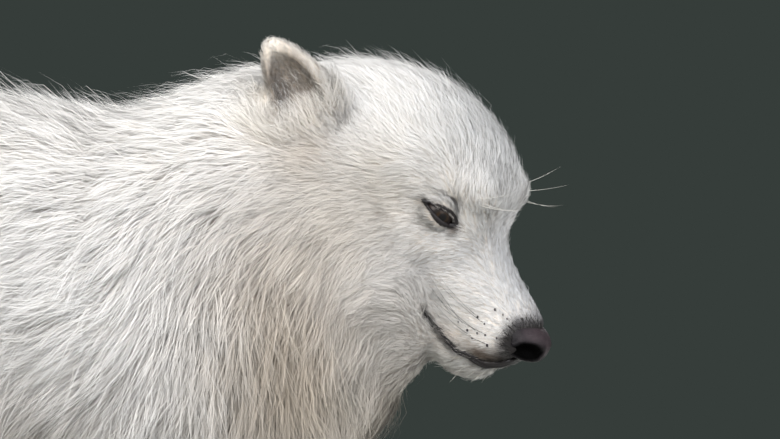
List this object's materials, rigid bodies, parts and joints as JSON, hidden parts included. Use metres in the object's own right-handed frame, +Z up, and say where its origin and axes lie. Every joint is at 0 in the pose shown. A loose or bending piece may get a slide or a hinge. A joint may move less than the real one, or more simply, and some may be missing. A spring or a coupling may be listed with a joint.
{
  "type": "arctic wolf",
  "caption": "Life-size arctic wolf standing with its head lowered and turned slightly to its right, white winter coat, bushy tail hanging.",
  "frame": {"origin": "on the floor, at the middle of the box round the whole body", "axes": "+Z up, the wolf faces -Y, its left side at +X"},
  "size_m": [0.3024, 1.25, 0.7864],
  "materials": {
    "coat": "dense white winter fur",
    "nose_leather": "moist, finely pebbled dark skin",
    "eye": "wet glossy eyeball with a dark brown iris",
    "claw": "dull dark horn"
  },
  "bodies": {
    "root": {"ear_left": "coat", "ear_right": "coat", "eye_left": "eye", "eye_right": "eye", "fore_claw_left_1": "claw", "fore_claw_left_2": "claw", "fore_claw_left_3": "claw", "fore_claw_left_4": "claw", "fore_claw_right_1": "claw", "fore_claw_right_2": "claw", "fore_claw_right_3": "claw", "fore_claw_right_4": "claw", "foreleg_left": "coat", "foreleg_right": "coat", "forepaw_left": "coat", "forepaw_right": "coat", "head": "coat", "hind_claw_left_1": "claw", "hind_claw_left_2": "claw", "hind_claw_left_3": "claw", "hind_claw_left_4": "claw", "hind_claw_right_1": "claw", "hind_claw_right_2": "claw", "hind_claw_right_3": "claw", "hind_claw_right_4": "claw", "hindleg_left": "coat", "hindleg_right": "coat", "hindpaw_left": "coat", "hindpaw_right": "coat", "hock_left": "coat", "hock_right": "coat", "lower_jaw": "coat", "neck": "coat", "nose": "nose_leather", "tail": "coat", "trunk": "coat"}
  },
  "joints": []
}
